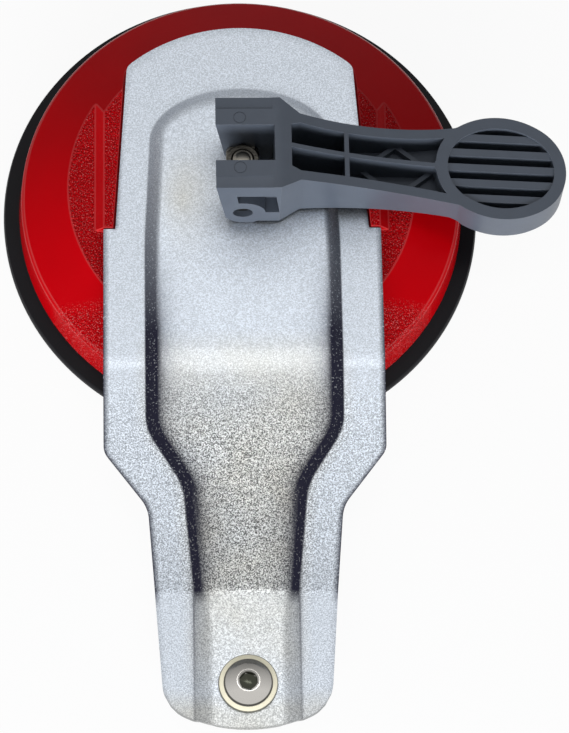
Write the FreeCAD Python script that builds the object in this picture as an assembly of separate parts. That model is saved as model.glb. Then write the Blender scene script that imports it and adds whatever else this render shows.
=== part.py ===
"""Suction lifter for floor tiles: a rubber cup under a red moulded disc, a pressed
steel arm plate clamped on top, and a cam lever that pulls the cup's centre up.

Frame: origin on the resting plane under the centre of the cup, +Z up,
+X along the closed lever, -Y towards the tail of the arm plate. Millimetres.
"""
import FreeCAD, Part
import math
import os

V = FreeCAD.Vector
X_AXIS = V(1, 0, 0)
Y_AXIS = V(0, 1, 0)
Z_AXIS = V(0, 0, 1)
TALL = 200.0            # length of cutting prisms that pass right through
MARGIN = 5.0            # how far a blank reaches past its finished outline
OVERLAP = 0.5           # how far joined forms run into each other
NEAR = 0.1              # closeness that counts as being at a place

# ---- fits -------------------------------------------------------------------
running_gap = 0.05      # radial play of a turning or sliding metal pin
free_gap = 0.3          # play between parts that only lie beside each other
cam_gap = 0.4           # lever cams above the arm plate when closed
side_gap = 0.1          # play of the trunnion between the lever's ears
block_gap = 0.6         # sideways room between arm plate and guide blocks
block_step_gap = 0.5    # room between the plate's step and the blocks' front ends
rib_clear = 4.0         # room round the spring inside the disc's ribs

# ---- rubber cup -------------------------------------------------------------
pad_r = 75.0
pad_lip_t = 3.7
pad_lip_chamfer = 0.9
pad_seal_width = 8.0    # flat ring that seals on the tile
pad_dish = 2.6          # rise of the cup's underside when the lever is closed
pad_dish_w = 9.0        # width of the slope up to it from the seal ring
pad_floor_t = 3.4       # rubber above the dish
pad_lip_w = 12.0        # flat top of the lip, which the disc's wall presses on
insert_r = 21.5
insert_t = 2.0
insert_collar_w = 4.5   # rubber ring round the insert disc

# ---- red disc ---------------------------------------------------------------
disc_r = 70.0           # lower edge of the wall
disc_rim_r = 68.8       # upper edge of the wall
disc_rim_z = 15.4
disc_flat_r = 54.0
disc_top_z = 23.5
disc_wall = 3.0
disc_edge = 0.8         # softened rim edge
disc_rib_count = 8
disc_rib_t = 2.0
disc_rib_bottom_z = 9.5
seat_r = 14.0           # raised seat that fills the channel of the arm plate
block_inset = 0.1       # upper outer edge of a guide block inside the plate's edge
block_bevel = 2.7       # run of its bevelled outer side

# ---- arm plate --------------------------------------------------------------
sheet_t = 2.5
emboss_h = 3.5          # raised channel on the flat part
tail_emboss_h = 2.5
emboss_run = 3.6        # horizontal run of the channel's side walls
emboss_end_run = 5.3    # the same at the round far end
tail_run = 3.2
plate_end_r = 54.0      # far edge, an arc about the stud
plate_far_w = 35.6      # half width at the far corners
plate_step_w = 39.2     # half width where the taper meets the step
plate_step_y = -15.3
plate_w = 42.9          # half width of the parallel part
plate_corner_r = 3.5
plate_shoulder_r = 5.0
plate_neck_r = 10.0
bend_1_y = -60.1
bend_1_r = 31.0         # upper radius of the soft bend beside the disc
bend_1_strips = 4       # flat strips that each bend is drawn with
shoulder_y = -86.0      # end of the parallel edges, on the slope
neck_y = -102.4
neck_w = 29.6
bend_2_y = -127.5
bend_2_r = 14.0         # upper radius of the bend at the tail
bend_2_strips = 3
tail_w = 27.6
tail_end_w = 25.0
tail_end_y = -170.0
tail_end_r = 47.0
tail_corner_r = 12.0
tail_top_z = 8.5        # upper face of the tail's flanges
channel_far_y = 14.0    # where the channel's round end starts
channel_far_w = 28.5
channel_end_l = 18.6
channel_w = 30.1        # half width of the channel on the flat part
channel_wide_y = -19.5
channel_narrow_y = -79.5
channel_neck_y = -96.0
channel_neck_w = 19.0
channel_tail_w = 16.0

# ---- tail screw (M8 flanged button head) and thin nut ------------------------
screw_y = -156.6
screw_r = 4.0
screw_thread_r = 3.6    # where the threads of screw and nut meet
screw_runout = 0.3      # bare neck below the nut
screw_hole_r = 4.2
screw_l = 10.0
screw_collar_r = 8.9
screw_collar_t = 1.3
screw_dome_r = 6.7
screw_head_h = 4.4
screw_shoulder_r = 5.7  # where the dome turns from steep to shallow
screw_shoulder_drop = 1.2
screw_crown_r = 3.4     # flat top round the socket
screw_chamfer = 0.6
screw_turn = math.radians(15.0)
screw_socket_af = 5.0
screw_socket_depth = 2.6
nut_af = 13.0
nut_h = 4.0

# ---- stud and its guide -------------------------------------------------------
stud_r = 3.0
stud_collar_r = 6.0
stud_collar_h = 3.0
stud_past_nut = 0.9
stud_chamfer = 0.5
stud_travel = 1.45      # fall of the stud when the lever is raised
stud_plate_hole_r = 3.8
bush_wall = 1.5
bush_flange_r = 6.8
bush_flange_t = 1.2
boss_wall = 2.9
boss_bottom_z = 14.0
lock_nut_af = 10.0
lock_nut_h = 3.2

# ---- return spring ------------------------------------------------------------
spring_wire = 1.2       # square wire
spring_coil_r = 9.4
spring_turns = 2.0
washer_t = 0.8
washer_r = 11.0

# ---- trunnion and pivot pins -----------------------------------------------------
trunnion_r = 5.0
trunnion_flat = 3.2     # height of the flat above the pivot axis
clevis_half = 5.9       # half the gap between the lever's ears
pin_r = 3.0
pin_press = 2.4         # depth of each pin in the trunnion
pin_recess = 2.0        # pin's outer end below the ear's face

# ---- lever -----------------------------------------------------------------------
cam_r = 7.2             # pivot axis to the cam's foot, lever closed
cam_open_r = 5.7        # pivot axis to the ear's side, lever open
open_angle = math.radians(82.0)
foot_l = 3.2            # flat foot ahead of the pivot
foot_step = 1.2
cam_steps = 8           # points that the cam's spiral is drawn through
ear_half = 15.0
ear_top_z = 55.8
ear_l = 11.3            # pivot axis to the end of the ears' flat top
ear_chamfer_l = 6.2
arm_half = 11.1
arm_waist_half = 10.5
arm_waist_x = 41.0
arm_wall = 3.1
arm_end_x = 62.4
arm_end_z = 38.3
arm_mid_x = 34.0
arm_mid_z = 45.9
arm_bottom_x = 18.9
arm_bottom_drop = 3.4   # fall of the arm's underside towards the grip
grip_step_x = 64.0      # where the underside steps down to the grip
grip_step_l = 4.0
grip_x = 80.0
grip_a = 20.4           # half length and half width of the round grip
grip_b = 17.2
grip_end_r = 15.8       # radius of the oval's two ends
grip_slope = 0.121      # fall of the grip's top per millimetre
grip_t = 12.5
grip_joint_l = 13.5     # grip's centre back to the corners where the arm runs in
grip_junction_r = 4.0
grip_rim = 3.7
bar_count = 5
bar_pitch = 5.1
bar_t = 2.5
bar_below = 0.6
cell_floor_t = 2.5
beam_x = 9.6            # end of the clevis gap
beam_t = 5.1
cell_start_half = 6.9
rib_t = 1.4
cross_rib_x = 31.8
brace_h = 3.0
brace_x = (36.5, 47.5, 58.5)
boss_x = 61.2
boss_r = 2.1
ear_pocket_depth = 5.0
ear_pocket_boss_r = 6.9
ear_pocket_bottom = 0.3
ear_pocket_top = 11.9
ear_pocket_left = -2.0
ear_pocket_right = 11.2
ear_pocket_lean = 1.3

# ---- levels that follow from the sizes above ---------------------------------------
flange_z = disc_top_z + sheet_t
plate_top_z = flange_z + emboss_h
pivot_z = plate_top_z + cam_gap + cam_r
insert_bottom_z = pad_dish + pad_floor_t
insert_top_z = insert_bottom_z + insert_t
bore_r = stud_r + running_gap
bush_r = bore_r + bush_wall
boss_r_out = bush_r + boss_wall
ceiling_z = disc_top_z - disc_wall
seat_top_z = disc_top_z + emboss_h
disc_slope = (disc_top_z - disc_rim_z) / (disc_rim_r - disc_flat_r)
shoulder_fall = disc_wall * math.hypot(1.0, disc_slope)  # the wall, straight down
inner_flat_r = disc_flat_r - (shoulder_fall - disc_wall) / disc_slope
inner_rim_r = disc_rim_r - disc_wall
inner_rim_z = disc_top_z - disc_slope * (inner_rim_r - disc_flat_r) - shoulder_fall
plate_far_y = math.sqrt(plate_end_r ** 2 - plate_far_w ** 2)
trunnion_half = clevis_half - side_gap
nut_seat_z = pivot_z + trunnion_flat
stud_top_z = nut_seat_z + lock_nut_h + stud_past_nut
arm_bottom_z = pivot_z - cam_r + foot_step
grip_top_z = arm_end_z - grip_slope * (grip_x - arm_end_x)
grip_side_r = (((grip_a - grip_end_r) ** 2 + grip_b ** 2 - grip_end_r ** 2)
               / (2 * (grip_b - grip_end_r)))


def revolve(points):
    """Solid of revolution about Z from (radius, height) points."""
    pts = [V(r, 0, z) for r, z in points]
    wire = Part.makePolygon(pts + [pts[0]])
    return Part.Face(wire).revolve(V(0, 0, 0), Z_AXIS, 360)


def cylinder(r, z0, z1, x=0.0, y=0.0):
    return Part.makeCylinder(r, z1 - z0, V(x, y, z0), Z_AXIS)


def hexagon(across_flats, z0, z1, x=0.0, y=0.0, turn=0.0):
    """Hexagonal prism, two flats facing +-Y when turn is 0."""
    r = across_flats / math.sqrt(3)
    pts = [V(x + r * math.cos(turn + math.radians(60 * i)),
             y + r * math.sin(turn + math.radians(60 * i)), z0) for i in range(6)]
    face = Part.Face(Part.makePolygon(pts + [pts[0]]))
    return face.extrude(V(0, 0, z1 - z0))


def plan_prism(edges, z0=0.0, height=TALL):
    """Prism along Z on a closed chain of edges that lie in the plane Z = 0."""
    face = Part.Face(Part.Wire(edges))
    prism = face.extrude(V(0, 0, height))
    prism.translate(V(0, 0, z0))
    return prism


def line(a, b):
    return Part.LineSegment(V(*a), V(*b)).toShape()


def arc(a, mid, b):
    return Part.Arc(V(*a), V(*mid), V(*b)).toShape()


def fillet_vertical(solid, radius, where):
    """Round the upright edges whose (x, y) passes the test."""
    picked = []
    for edge in solid.Edges:
        a, b = edge.Vertexes[0].Point, edge.Vertexes[-1].Point
        upright = abs(a.x - b.x) < 1e-6 and abs(a.y - b.y) < 1e-6 and abs(a.z - b.z) > 1
        if upright and where(a.x, a.y):
            picked.append(edge)
    return solid.makeFillet(radius, picked)


def export(name, shape):
    shape.exportStep("parts/%s.step" % name)


# ---- cup ---------------------------------------------------------------------------

def suction_pad():
    """Rubber cup, drawn with its centre pulled up as it is with the lever closed."""
    seal_r = pad_r - pad_seal_width
    seat_out = insert_r + free_gap
    collar_out = seat_out + insert_collar_w
    return revolve([(0, pad_dish), (0, insert_bottom_z), (seat_out, insert_bottom_z),
                    (seat_out, insert_top_z), (collar_out, insert_top_z),
                    (collar_out, insert_bottom_z), (seal_r - pad_dish_w, insert_bottom_z),
                    (pad_r - pad_lip_w, pad_lip_t), (pad_r - pad_lip_chamfer, pad_lip_t),
                    (pad_r, pad_lip_t - pad_lip_chamfer), (pad_r, 0), (seal_r, 0),
                    (seal_r - pad_dish_w, pad_dish)])


def pad_insert():
    """Steel disc set in the top of the cup, riveted to the stud."""
    disc = cylinder(insert_r, insert_bottom_z, insert_top_z)
    return disc.cut(cylinder(stud_r, 0, TALL))


def lift_stud():
    """Turned stud: spigot in the insert, collar on it, threaded top for the nut."""
    return revolve([(0, insert_bottom_z), (stud_r, insert_bottom_z), (stud_r, insert_top_z),
                    (stud_collar_r, insert_top_z),
                    (stud_collar_r, insert_top_z + stud_collar_h),
                    (stud_r, insert_top_z + stud_collar_h),
                    (stud_r, stud_top_z - stud_chamfer), (stud_r - stud_chamfer, stud_top_z),
                    (0, stud_top_z)])


def spring_washer():
    """Flat ring that the spring's lower end stands on."""
    ring = cylinder(washer_r, insert_top_z, insert_top_z + washer_t)
    return ring.cut(cylinder(stud_collar_r + free_gap, 0, TALL))


def return_spring():
    """Spring of square wire between the washer and the disc's ceiling, swept along a helix."""
    half = spring_wire / 2
    low = insert_top_z + washer_t + half
    high = ceiling_z - half
    helix = Part.Wire(Part.makeHelix((high - low) / spring_turns, high - low, spring_coil_r).Edges)
    helix.translate(V(0, 0, low))
    corners = [V(spring_coil_r + dx, 0, low + dz)
               for dx, dz in ((-half, -half), (half, -half), (half, half), (-half, half))]
    sweep = Part.BRepOffsetAPI.MakePipeShell(helix)
    sweep.setFrenetMode(True)
    sweep.add(Part.makePolygon(corners + [corners[0]]))
    sweep.build()
    sweep.makeSolid()
    return sweep.shape()


# ---- disc --------------------------------------------------------------------------

def disc_shell():
    """Moulded cover: drafted wall, conical shoulder, flat top and raised centre seat."""
    low = pad_lip_t
    edge_z = disc_rim_z - disc_edge
    edge_r = disc_r + (disc_rim_r - disc_r) * (edge_z - low) / (disc_rim_z - low)
    outer = [(disc_r, low), (edge_r, edge_z),
             (disc_rim_r - disc_edge, disc_rim_z + disc_edge * disc_slope),
             (disc_flat_r, disc_top_z), (seat_r, disc_top_z), (seat_r, seat_top_z),
             (bush_r, seat_top_z)]
    inner = [(bush_r, boss_bottom_z), (boss_r_out, boss_bottom_z), (boss_r_out, ceiling_z),
             (inner_flat_r, ceiling_z), (inner_rim_r, inner_rim_z), (disc_r - disc_wall, low)]
    return revolve(outer + inner)


def disc_ribs():
    """Radial stiffening ribs under the cover, clear of the spring."""
    inner_r = spring_coil_r + spring_wire / 2 + rib_clear
    outer_r = inner_rim_r + OVERLAP
    cavity = revolve([(inner_r, disc_rib_bottom_z), (inner_r, ceiling_z + OVERLAP),
                      (inner_flat_r, ceiling_z + OVERLAP), (outer_r, inner_rim_z),
                      (outer_r, disc_rib_bottom_z)])
    ribs = []
    for i in range(disc_rib_count):
        bar = Part.makeBox(TALL, disc_rib_t, TALL, V(0, -disc_rib_t / 2, 0))
        bar.rotate(V(0, 0, 0), Z_AXIS, 360.0 * i / disc_rib_count)
        ribs.append(bar.common(cavity))
    return ribs


def guide_block(side):
    """Raised block beside the arm plate: bevelled outer edge, end cut by the shoulder's cone."""
    top_w = plate_w - block_inset
    low_w = top_w + block_bevel
    root_z = disc_top_z - OVERLAP
    front = plate_step_y + block_step_gap
    far = plate_far_y + MARGIN
    near_in = plate_step_w + block_gap
    taper = (plate_step_w - plate_far_w) / (plate_far_y - plate_step_y)
    far_in = near_in - taper * (far - front)
    section = [V(side * low_w, front, root_z), V(side * low_w, front, disc_top_z),
               V(side * top_w, front, flange_z), V(side * (far_in - OVERLAP), front, flange_z),
               V(side * (far_in - OVERLAP), front, root_z)]
    bar = Part.Face(Part.makePolygon(section + [section[0]])).extrude(V(0, far - front, 0))
    inside = [V(side * near_in, front, 0), V(side * far_in, far, 0), V(0, far, 0), V(0, front, 0)]
    cut = Part.Face(Part.makePolygon(inside + [inside[0]])).extrude(V(0, 0, TALL))
    top_r = disc_flat_r - sheet_t / disc_slope
    cone = revolve([(0, root_z), (disc_flat_r, root_z), (disc_flat_r, disc_top_z),
                    (top_r, flange_z), (0, flange_z)])
    return bar.cut(cut).common(cone)


def base_disc():
    """Red moulded cover with its ribs and the two blocks that guide the arm plate."""
    body = disc_shell()
    for extra in disc_ribs() + [guide_block(1), guide_block(-1)]:
        body = body.fuse(extra)
    return body.removeSplitter()


def guide_bush():
    """Plastic bush in the disc's centre bore that the stud slides in."""
    return revolve([(bore_r, boss_bottom_z - bush_flange_t),
                    (bush_flange_r, boss_bottom_z - bush_flange_t),
                    (bush_flange_r, boss_bottom_z), (bush_r, boss_bottom_z),
                    (bush_r, seat_top_z), (bore_r, seat_top_z)])


# ---- arm plate -----------------------------------------------------------------------

def between(rows, y):
    """Values at y on the straight lines between rows of (y, value, ...) that fall in y."""
    for high, low in zip(rows, rows[1:]):
        if y >= low[0]:
            share = (high[0] - y) / (high[0] - low[0])
            return [a + (b - a) * share for a, b in zip(high[1:], low[1:])]
    return list(rows[-1][1:])


def bend_points(y, z, radius, turn, strips):
    """Points on a bend's arc; a negative radius bends the other way."""
    reach = abs(radius) * math.tan(turn / 2)
    share = [i / strips for i in range(strips + 1)]
    if radius > 0:
        return [(y + reach - radius * math.sin(turn * s),
                 z - radius * (1 - math.cos(turn * s))) for s in share]
    return [(y - reach - radius * math.sin(turn * (1 - s)),
             z - radius * (1 - math.cos(turn * (1 - s)))) for s in share]


def arm_profile():
    """Upper face of the arm plate's flanges as (y, z) points: flat seat, slope and tail."""
    turn = math.atan2(flange_z - tail_top_z, bend_1_y - bend_2_y)
    return ([(plate_end_r + MARGIN, flange_z)]
            + bend_points(bend_1_y, flange_z, bend_1_r, turn, bend_1_strips)
            + bend_points(bend_2_y, tail_top_z, -bend_2_r, turn, bend_2_strips)
            + [(tail_end_y - MARGIN, tail_top_z)])


def plate_outline():
    """Prism on the arm plate's outline, with its rounded corners."""
    bulge = tail_end_r - math.sqrt(tail_end_r ** 2 - tail_end_w ** 2)
    right = [(plate_far_w, plate_far_y, 0), (plate_step_w, plate_step_y, 0),
             (plate_w, plate_step_y, 0), (plate_w, shoulder_y, 0), (neck_w, neck_y, 0),
             (tail_w, bend_2_y, 0), (tail_end_w, tail_end_y + bulge, 0)]
    left = [(-x, y, z) for x, y, z in reversed(right)]
    edges = [arc(left[-1], (0, plate_end_r, 0), right[0])]
    edges += [line(a, b) for a, b in zip(right, right[1:])]
    edges.append(arc(right[-1], (0, tail_end_y, 0), left[0]))
    edges += [line(a, b) for a, b in zip(left, left[1:])]
    prism = plan_prism(edges)
    prism = fillet_vertical(prism, plate_corner_r, lambda x, y: y > 0)
    prism = fillet_vertical(prism, plate_shoulder_r, lambda x, y: abs(y - shoulder_y) < NEAR)
    prism = fillet_vertical(prism, plate_neck_r, lambda x, y: abs(y - neck_y) < NEAR)
    return fillet_vertical(prism, tail_corner_r, lambda x, y: y < bend_2_y - NEAR)


def channel_stations():
    """(place, half width at the flange, wall run, height) along the raised channel."""
    profile = [y for y, z in arm_profile()]
    slope_start, slope_end = profile[1 + bend_1_strips], profile[2 + bend_1_strips]
    heights = [(slope_start, emboss_h), (slope_end, tail_emboss_h)]
    rows = [(channel_far_y, channel_far_w, emboss_run, emboss_h),
            (channel_wide_y, channel_w, emboss_run, emboss_h),
            (slope_start, channel_w, emboss_run, emboss_h),
            (channel_narrow_y, channel_w, emboss_run, between(heights, channel_narrow_y)[0]),
            (channel_neck_y, channel_neck_w, emboss_run, between(heights, channel_neck_y)[0]),
            (slope_end, channel_tail_w, tail_run, tail_emboss_h),
            (profile[-1], channel_tail_w, tail_run, tail_emboss_h)]
    bends = [(y, *between(rows, y)) for y in profile[1:-1] if y not in (slope_start, slope_end)]
    return sorted(rows + bends, reverse=True)


def channel(inset, drop):
    """The raised channel as a solid; inset and drop give its hollow underside."""
    sections = []
    for y, w, run, h in channel_stations():
        z = between(arm_profile(), y)[0] - drop
        pts = [V(-(w - inset), y, z), V(w - inset, y, z),
               V(w - run - inset, y, z + h), V(-(w - run - inset), y, z + h)]
        sections.append(Part.makePolygon(pts + [pts[0]]))
    body = None
    for a, b in zip(sections, sections[1:]):
        piece = Part.makeLoft([a, b], True, True)
        body = piece if body is None else body.fuse(piece)
    rings = []
    for a, b, z in ((channel_far_w, channel_end_l, 0.0),
                    (channel_far_w - emboss_run, channel_end_l - emboss_end_run, emboss_h)):
        a, b = a - inset, b - inset
        major, minor = X_AXIS * a, Y_AXIS * b
        centre = V(0, channel_far_y, flange_z - drop + z)
        oval = Part.Ellipse(centre + major, centre + minor, centre)
        half = oval.toShape(0, math.pi)
        rings.append(Part.Wire([half, line(tuple(centre - major), tuple(centre + major))]))
    return body.fuse(Part.makeLoft(rings, True, True))


def arm_plate():
    """Pressed sheet: flat seat, sloping neck and tail, with one long raised channel."""
    profile = arm_profile()
    half = plate_w + MARGIN
    pts = [V(-half, y, z) for y, z in profile]
    pts += [V(-half, y, z - sheet_t) for y, z in reversed(profile)]
    band = Part.Face(Part.makePolygon(pts + [pts[0]])).extrude(V(2 * half, 0, 0))
    wall_angle = math.atan2(emboss_h, emboss_run)
    inset = sheet_t * math.tan(wall_angle / 2)
    sheet = band.fuse(channel(0.0, 0.0)).cut(channel(inset, sheet_t))
    sheet = sheet.common(plate_outline())
    sheet = sheet.cut(cylinder(stud_plate_hole_r, 0, TALL))
    return sheet.cut(cylinder(screw_hole_r, 0, TALL, 0, screw_y)).removeSplitter()


def tail_screw():
    """M8 button head with a flange; its thread is drawn on the line where the nut's meets it."""
    seat = tail_top_z + tail_emboss_h
    tip = seat - screw_l
    nut_top = seat - sheet_t
    nut_low = nut_top - nut_h - screw_runout
    collar = seat + screw_collar_t
    head_top = seat + screw_head_h
    screw = revolve([(0, tip), (screw_r - screw_chamfer, tip), (screw_r, tip + screw_chamfer),
                     (screw_r, nut_low), (screw_thread_r, nut_low), (screw_thread_r, nut_top),
                     (screw_r, nut_top), (screw_r, seat), (screw_collar_r, seat),
                     (screw_collar_r, collar), (screw_dome_r, collar),
                     (screw_shoulder_r, head_top - screw_shoulder_drop),
                     (screw_crown_r, head_top), (0, head_top)])
    screw = screw.cut(hexagon(screw_socket_af, head_top - screw_socket_depth, TALL,
                              turn=screw_turn))
    screw.translate(V(0, screw_y, 0))
    return screw


def tail_nut():
    """Thin hexagon nut under the tail."""
    seat = tail_top_z + tail_emboss_h - sheet_t
    nut = hexagon(nut_af, seat - nut_h, seat, 0, screw_y)
    return nut.cut(cylinder(screw_thread_r, -TALL, TALL, 0, screw_y))


# ---- trunnion ------------------------------------------------------------------------

def on_pivot(r, y0, y1):
    """Cylinder on the pivot's axis."""
    return Part.makeCylinder(r, y1 - y0, V(0, y0, pivot_z), Y_AXIS)


def trunnion():
    """Cross barrel on the stud, flat on top for the nut, drilled for the two pins."""
    barrel = on_pivot(trunnion_r, -trunnion_half, trunnion_half)
    barrel = barrel.cut(Part.makeBox(TALL, TALL, TALL, V(-TALL / 2, -TALL / 2, nut_seat_z)))
    barrel = barrel.cut(cylinder(bore_r, 0, TALL))
    for side in (-1, 1):
        barrel = barrel.cut(pin_solid(side))
    return barrel


def pin_solid(side):
    """Pivot pin on one side: pressed into the trunnion, running in the lever's ear."""
    inner = trunnion_half - pin_press
    outer = ear_half - pin_recess
    if side > 0:
        return on_pivot(pin_r, inner, outer)
    return on_pivot(pin_r, -outer, -inner)


def stud_nut():
    """Hexagon nut on the stud's thread, seated on the trunnion's flat."""
    nut = hexagon(lock_nut_af, nut_seat_z, nut_seat_z + lock_nut_h)
    return nut.cut(cylinder(stud_r, 0, TALL))


# ---- lever ---------------------------------------------------------------------------

def grip_height(x):
    """Top of the grip along the lever."""
    return grip_top_z - grip_slope * (x - grip_x)


def lower_line():
    """Underside of the arm and the grip as (x, z) points, from the foot's step outwards."""
    full_x = grip_step_x + grip_step_l
    end_x = grip_x + grip_a + OVERLAP
    return [(foot_l + foot_step, arm_bottom_z), (arm_bottom_x, arm_bottom_z),
            (grip_step_x, arm_bottom_z - arm_bottom_drop),
            (full_x, grip_height(full_x) - grip_t),
            (end_x, grip_height(end_x) - grip_t)]


def lever_side():
    """Slab with the lever's side view: cam, ears, falling back and thin grip."""
    y = -TALL / 2
    foot_z = pivot_z - cam_r
    cam = []
    for i in range(cam_steps + 1):
        a = open_angle * i / cam_steps
        r = cam_r + (cam_open_r - cam_r) * i / cam_steps
        cam.append(V(-r * math.sin(a), y, pivot_z - r * math.cos(a)))
    curve = Part.BSplineCurve()
    curve.interpolate(cam)
    lean = ear_top_z - pivot_z
    top_x = -(cam_open_r + lean * math.cos(open_angle)) / math.sin(open_angle)
    low = [(x, y, z) for x, z in lower_line()]
    end_x = low[-1][0]
    edges = [curve.toShape(), line(tuple(cam[-1]), (top_x, y, ear_top_z)),
             line((top_x, y, ear_top_z), (ear_l, y, ear_top_z)),
             arc((ear_l, y, ear_top_z), (arm_mid_x, y, arm_mid_z), (arm_end_x, y, arm_end_z)),
             line((arm_end_x, y, arm_end_z), (end_x, y, grip_height(end_x))),
             line((end_x, y, grip_height(end_x)), low[-1])]
    edges += [line(a, b) for a, b in zip(reversed(low), list(reversed(low))[1:])]
    edges += [line(low[0], (foot_l, y, foot_z)), line((foot_l, y, foot_z), (0, y, foot_z))]
    return Part.Face(Part.Wire(edges)).extrude(V(0, TALL, 0))


def oval_prism(inset):
    """Upright prism on the grip's outline moved in: two end arcs tangent to two side arcs."""
    end, side = grip_end_r - inset, grip_side_r - inset
    end_centre, side_centre = grip_a - grip_end_r, grip_side_r - grip_b
    reach = math.hypot(end_centre, side_centre)
    x = end_centre + end * end_centre / reach
    y = end * side_centre / reach
    a, b = end_centre + end, side - side_centre
    at = [V(grip_x + dx, dy, 0) for dx, dy in
          ((x, -y), (a, 0), (x, y), (0, b), (-x, y), (-a, 0), (-x, -y), (0, -b))]
    arcs = [Part.Arc(at[i], at[i + 1], at[(i + 2) % 8]).toShape() for i in (0, 2, 4, 6)]
    return plan_prism(arcs)


def arm_prism(start_x, start_half, inset):
    """Prism on the arm's outline, waisted in the middle, running into the grip's oval."""
    end_x = grip_x - grip_joint_l
    end_half = math.sqrt(grip_end_r ** 2 - (grip_joint_l - grip_a + grip_end_r) ** 2)
    neck_x = ear_l + ear_chamfer_l
    right = [(start_x, start_half, 0), (neck_x, arm_half - inset, 0)]
    tip = (end_x, end_half - inset, 0)
    waist = (arm_waist_x, arm_waist_half - inset, 0)
    mirrored = [(x, -yy, z) for x, yy, z in right]
    edges = [line(right[0], right[1]), arc(right[1], waist, tip),
             line(tip, (tip[0], -tip[1], 0)),
             arc((tip[0], -tip[1], 0), (waist[0], -waist[1], 0), mirrored[1]),
             line(mirrored[1], mirrored[0]), line(mirrored[0], right[0])]
    return plan_prism(edges)


def lever_plan():
    """Prism on the lever's top view: square ears, waisted arm, oval grip."""
    ears = Part.makeBox(ear_l + TALL / 2, 2 * ear_half, TALL, V(-TALL / 2, -ear_half, 0))
    plan = ears.fuse(arm_prism(ear_l, ear_half, 0.0)).fuse(oval_prism(0.0))
    plan = plan.removeSplitter()
    corner_x = grip_x - grip_joint_l
    return fillet_vertical(plan, grip_junction_r, lambda x, y: abs(x - corner_x) < NEAR)


def above(offset_points, top_points=None):
    """Slab between a lower line and an upper line, both as (x, z) points."""
    y = -TALL / 2
    upper = top_points or [(offset_points[-1][0], TALL), (offset_points[0][0], TALL)]
    pts = [V(x, y, z) for x, z in offset_points] + [V(x, y, z) for x, z in upper]
    return Part.Face(Part.makePolygon(pts + [pts[0]])).extrude(V(0, TALL, 0))


def lever_pockets():
    """Room taken out of the lever's top: four cells and the oval between its bars."""
    floor = [(x, z + cell_floor_t) for x, z in lower_line()]
    floor[0] = (0.0, floor[0][1])
    open_space = above(floor)
    start_x = beam_x + beam_t
    cells = arm_prism(start_x, cell_start_half, arm_wall)
    cells = cells.cut(oval_prism(0.0))
    cells = cells.cut(Part.makeBox(TALL, rib_t, TALL, V(0, -rib_t / 2, 0)))
    cells = cells.cut(Part.makeBox(rib_t, TALL, TALL, V(cross_rib_x - rib_t / 2, -TALL / 2, 0)))
    cells = cells.cut(cylinder(boss_r, 0, TALL, boss_x, 0))
    brace_top = above([(x, -TALL) for x, _ in floor],
                      [(x, z + brace_h) for x, z in reversed(floor)])
    for side in (-1, 1):
        wall = side * (arm_half - arm_wall + OVERLAP)
        for a, b in (((brace_x[0], 0), (brace_x[1], wall)), ((brace_x[1], wall), (brace_x[2], 0))):
            cells = cells.cut(brace(a, b).common(brace_top))
    oval = oval_prism(grip_rim)
    bar_line = [(grip_x + s * grip_a, grip_height(grip_x + s * grip_a) - bar_below)
                for s in (1, -1)]
    bar_space = above([(grip_x - grip_a, 0), (grip_x + grip_a, 0)], bar_line)
    for i in range(bar_count):
        y = (i - (bar_count - 1) / 2) * bar_pitch - bar_t / 2
        bar = Part.makeBox(TALL, bar_t, TALL, V(0, y, 0))
        oval = oval.cut(bar.common(bar_space))
    return [cells.common(open_space), oval.common(open_space)]


def brace(a, b):
    """Upright slab between two points in plan."""
    length = math.hypot(b[0] - a[0], b[1] - a[1])
    slab = Part.makeBox(length, rib_t, TALL, V(0, -rib_t / 2, 0))
    slab.rotate(V(0, 0, 0), Z_AXIS, math.degrees(math.atan2(b[1] - a[1], b[0] - a[0])))
    slab.translate(V(a[0], a[1], 0))
    return slab


def ear_pocket(side):
    """Recess in an ear's outer face, cut round the pin's boss."""
    y = side * (ear_half - ear_pocket_depth)
    low_z = pivot_z + ear_pocket_bottom
    top_z = pivot_z + ear_pocket_top
    pts = [V(ear_pocket_left, y, top_z), V(ear_pocket_right - ear_pocket_lean, y, top_z),
           V(ear_pocket_right, y, low_z), V(ear_pocket_left + ear_pocket_lean, y, low_z)]
    block = Part.Face(Part.makePolygon(pts + [pts[0]])).extrude(V(0, side * 2 * ear_half, 0))
    return block.cut(on_pivot(ear_pocket_boss_r, -TALL, TALL))


def lever_body():
    """Moulded lever: two cam ears round the trunnion, open cells and a barred grip."""
    body = lever_side().common(lever_plan())
    body = body.cut(Part.makeBox(beam_x + TALL / 2, 2 * clevis_half, TALL,
                                 V(-TALL / 2, -clevis_half, 0)))
    body = body.cut(on_pivot(pin_r + running_gap, -TALL, TALL))
    for tool in lever_pockets() + [ear_pocket(1), ear_pocket(-1)]:
        body = body.cut(tool)
    return body.removeSplitter()


def main():
    os.makedirs("parts", exist_ok=True)
    export("suction_pad", suction_pad())
    export("pad_insert", pad_insert())
    export("lift_stud", lift_stud())
    export("spring_washer", spring_washer())
    export("return_spring", return_spring())
    export("base_disc", base_disc())
    export("guide_bush", guide_bush())
    export("arm_plate", arm_plate())
    export("tail_screw", tail_screw())
    export("tail_nut", tail_nut())
    export("trunnion", trunnion())
    export("pivot_pin_front", pin_solid(-1))
    export("pivot_pin_rear", pin_solid(1))
    export("stud_nut", stud_nut())
    export("lever_body", lever_body())


main()
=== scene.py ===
"""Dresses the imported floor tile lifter: rubber cup, red disc, pressed arm plate, cam lever.

Laid out as an add-on and run as a script. Lengths in the code are millimetres unless said.
"""
import math
from contextlib import contextmanager

import bmesh
import bpy
import numpy as np
from bpy.props import FloatProperty, FloatVectorProperty, IntProperty, PointerProperty
from mathutils import Matrix, Vector


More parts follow.
